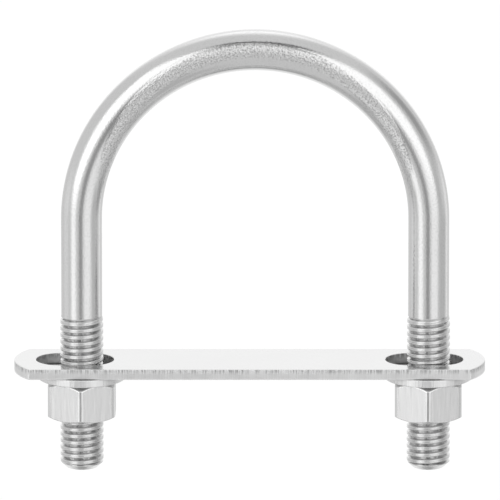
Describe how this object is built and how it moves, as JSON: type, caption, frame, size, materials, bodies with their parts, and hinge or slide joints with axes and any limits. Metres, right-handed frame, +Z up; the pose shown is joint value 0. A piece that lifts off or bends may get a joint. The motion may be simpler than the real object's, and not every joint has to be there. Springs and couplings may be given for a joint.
{
  "type": "u-bolt pad eye with frame plate",
  "caption": "Round-bow U-bolt eye with threaded legs, a slotted frame plate, flat washers and hex nuts, for fastening through a deck.",
  "frame": {"origin": "middle of the frame plate's underside, the face that beds on the deck", "axes": "+Z up through the bow, +X along the plate from the left leg to the right leg, -Y to the front"},
  "size_m": [0.0864, 0.0162, 0.0826],
  "materials": {
    "polished_rod": "polished stainless steel",
    "plate_steel": "satin stainless sheet with sheared edges",
    "fastener_steel": "bright stainless"
  },
  "bodies": {
    "u_bolt": {"u_bolt": "polished_rod"},
    "frame_plate": {"frame_plate": "plate_steel"},
    "left_washer": {"left_washer": "fastener_steel"},
    "right_washer": {"right_washer": "fastener_steel"},
    "left_nut": {"left_nut": "fastener_steel"},
    "right_nut": {"right_nut": "fastener_steel"}
  },
  "joints": [
    {"name": "plate_slide", "type": "slide", "parent": "u_bolt", "child": "frame_plate", "axis": [0, 0, 1], "range_m": [0, 0.034]},
    {"name": "left_washer_slide", "type": "slide", "parent": "u_bolt", "child": "left_washer", "axis": [0, 0, 1], "range_m": [-0.0163, 0]},
    {"name": "left_nut_turn", "type": "hinge", "parent": "left_washer", "child": "left_nut", "pos_m": [-0.03085, 0, -0.0051], "axis": [0, 0, 1], "range_deg": [-4680, 0]},
    {"name": "right_washer_slide", "type": "slide", "parent": "u_bolt", "child": "right_washer", "axis": [0, 0, 1], "range_m": [-0.0163, 0]},
    {"name": "right_nut_turn", "type": "hinge", "parent": "right_washer", "child": "right_nut", "pos_m": [0.03285, 0, -0.0051], "axis": [0, 0, 1], "range_deg": [-4680, 0]}
  ],
  "couplings": [
    {"joint": "left_washer_slide", "follows": "left_nut_turn", "m_per_rad": 0.00019894},
    {"joint": "right_washer_slide", "follows": "right_nut_turn", "m_per_rad": 0.00019894}
  ]
}
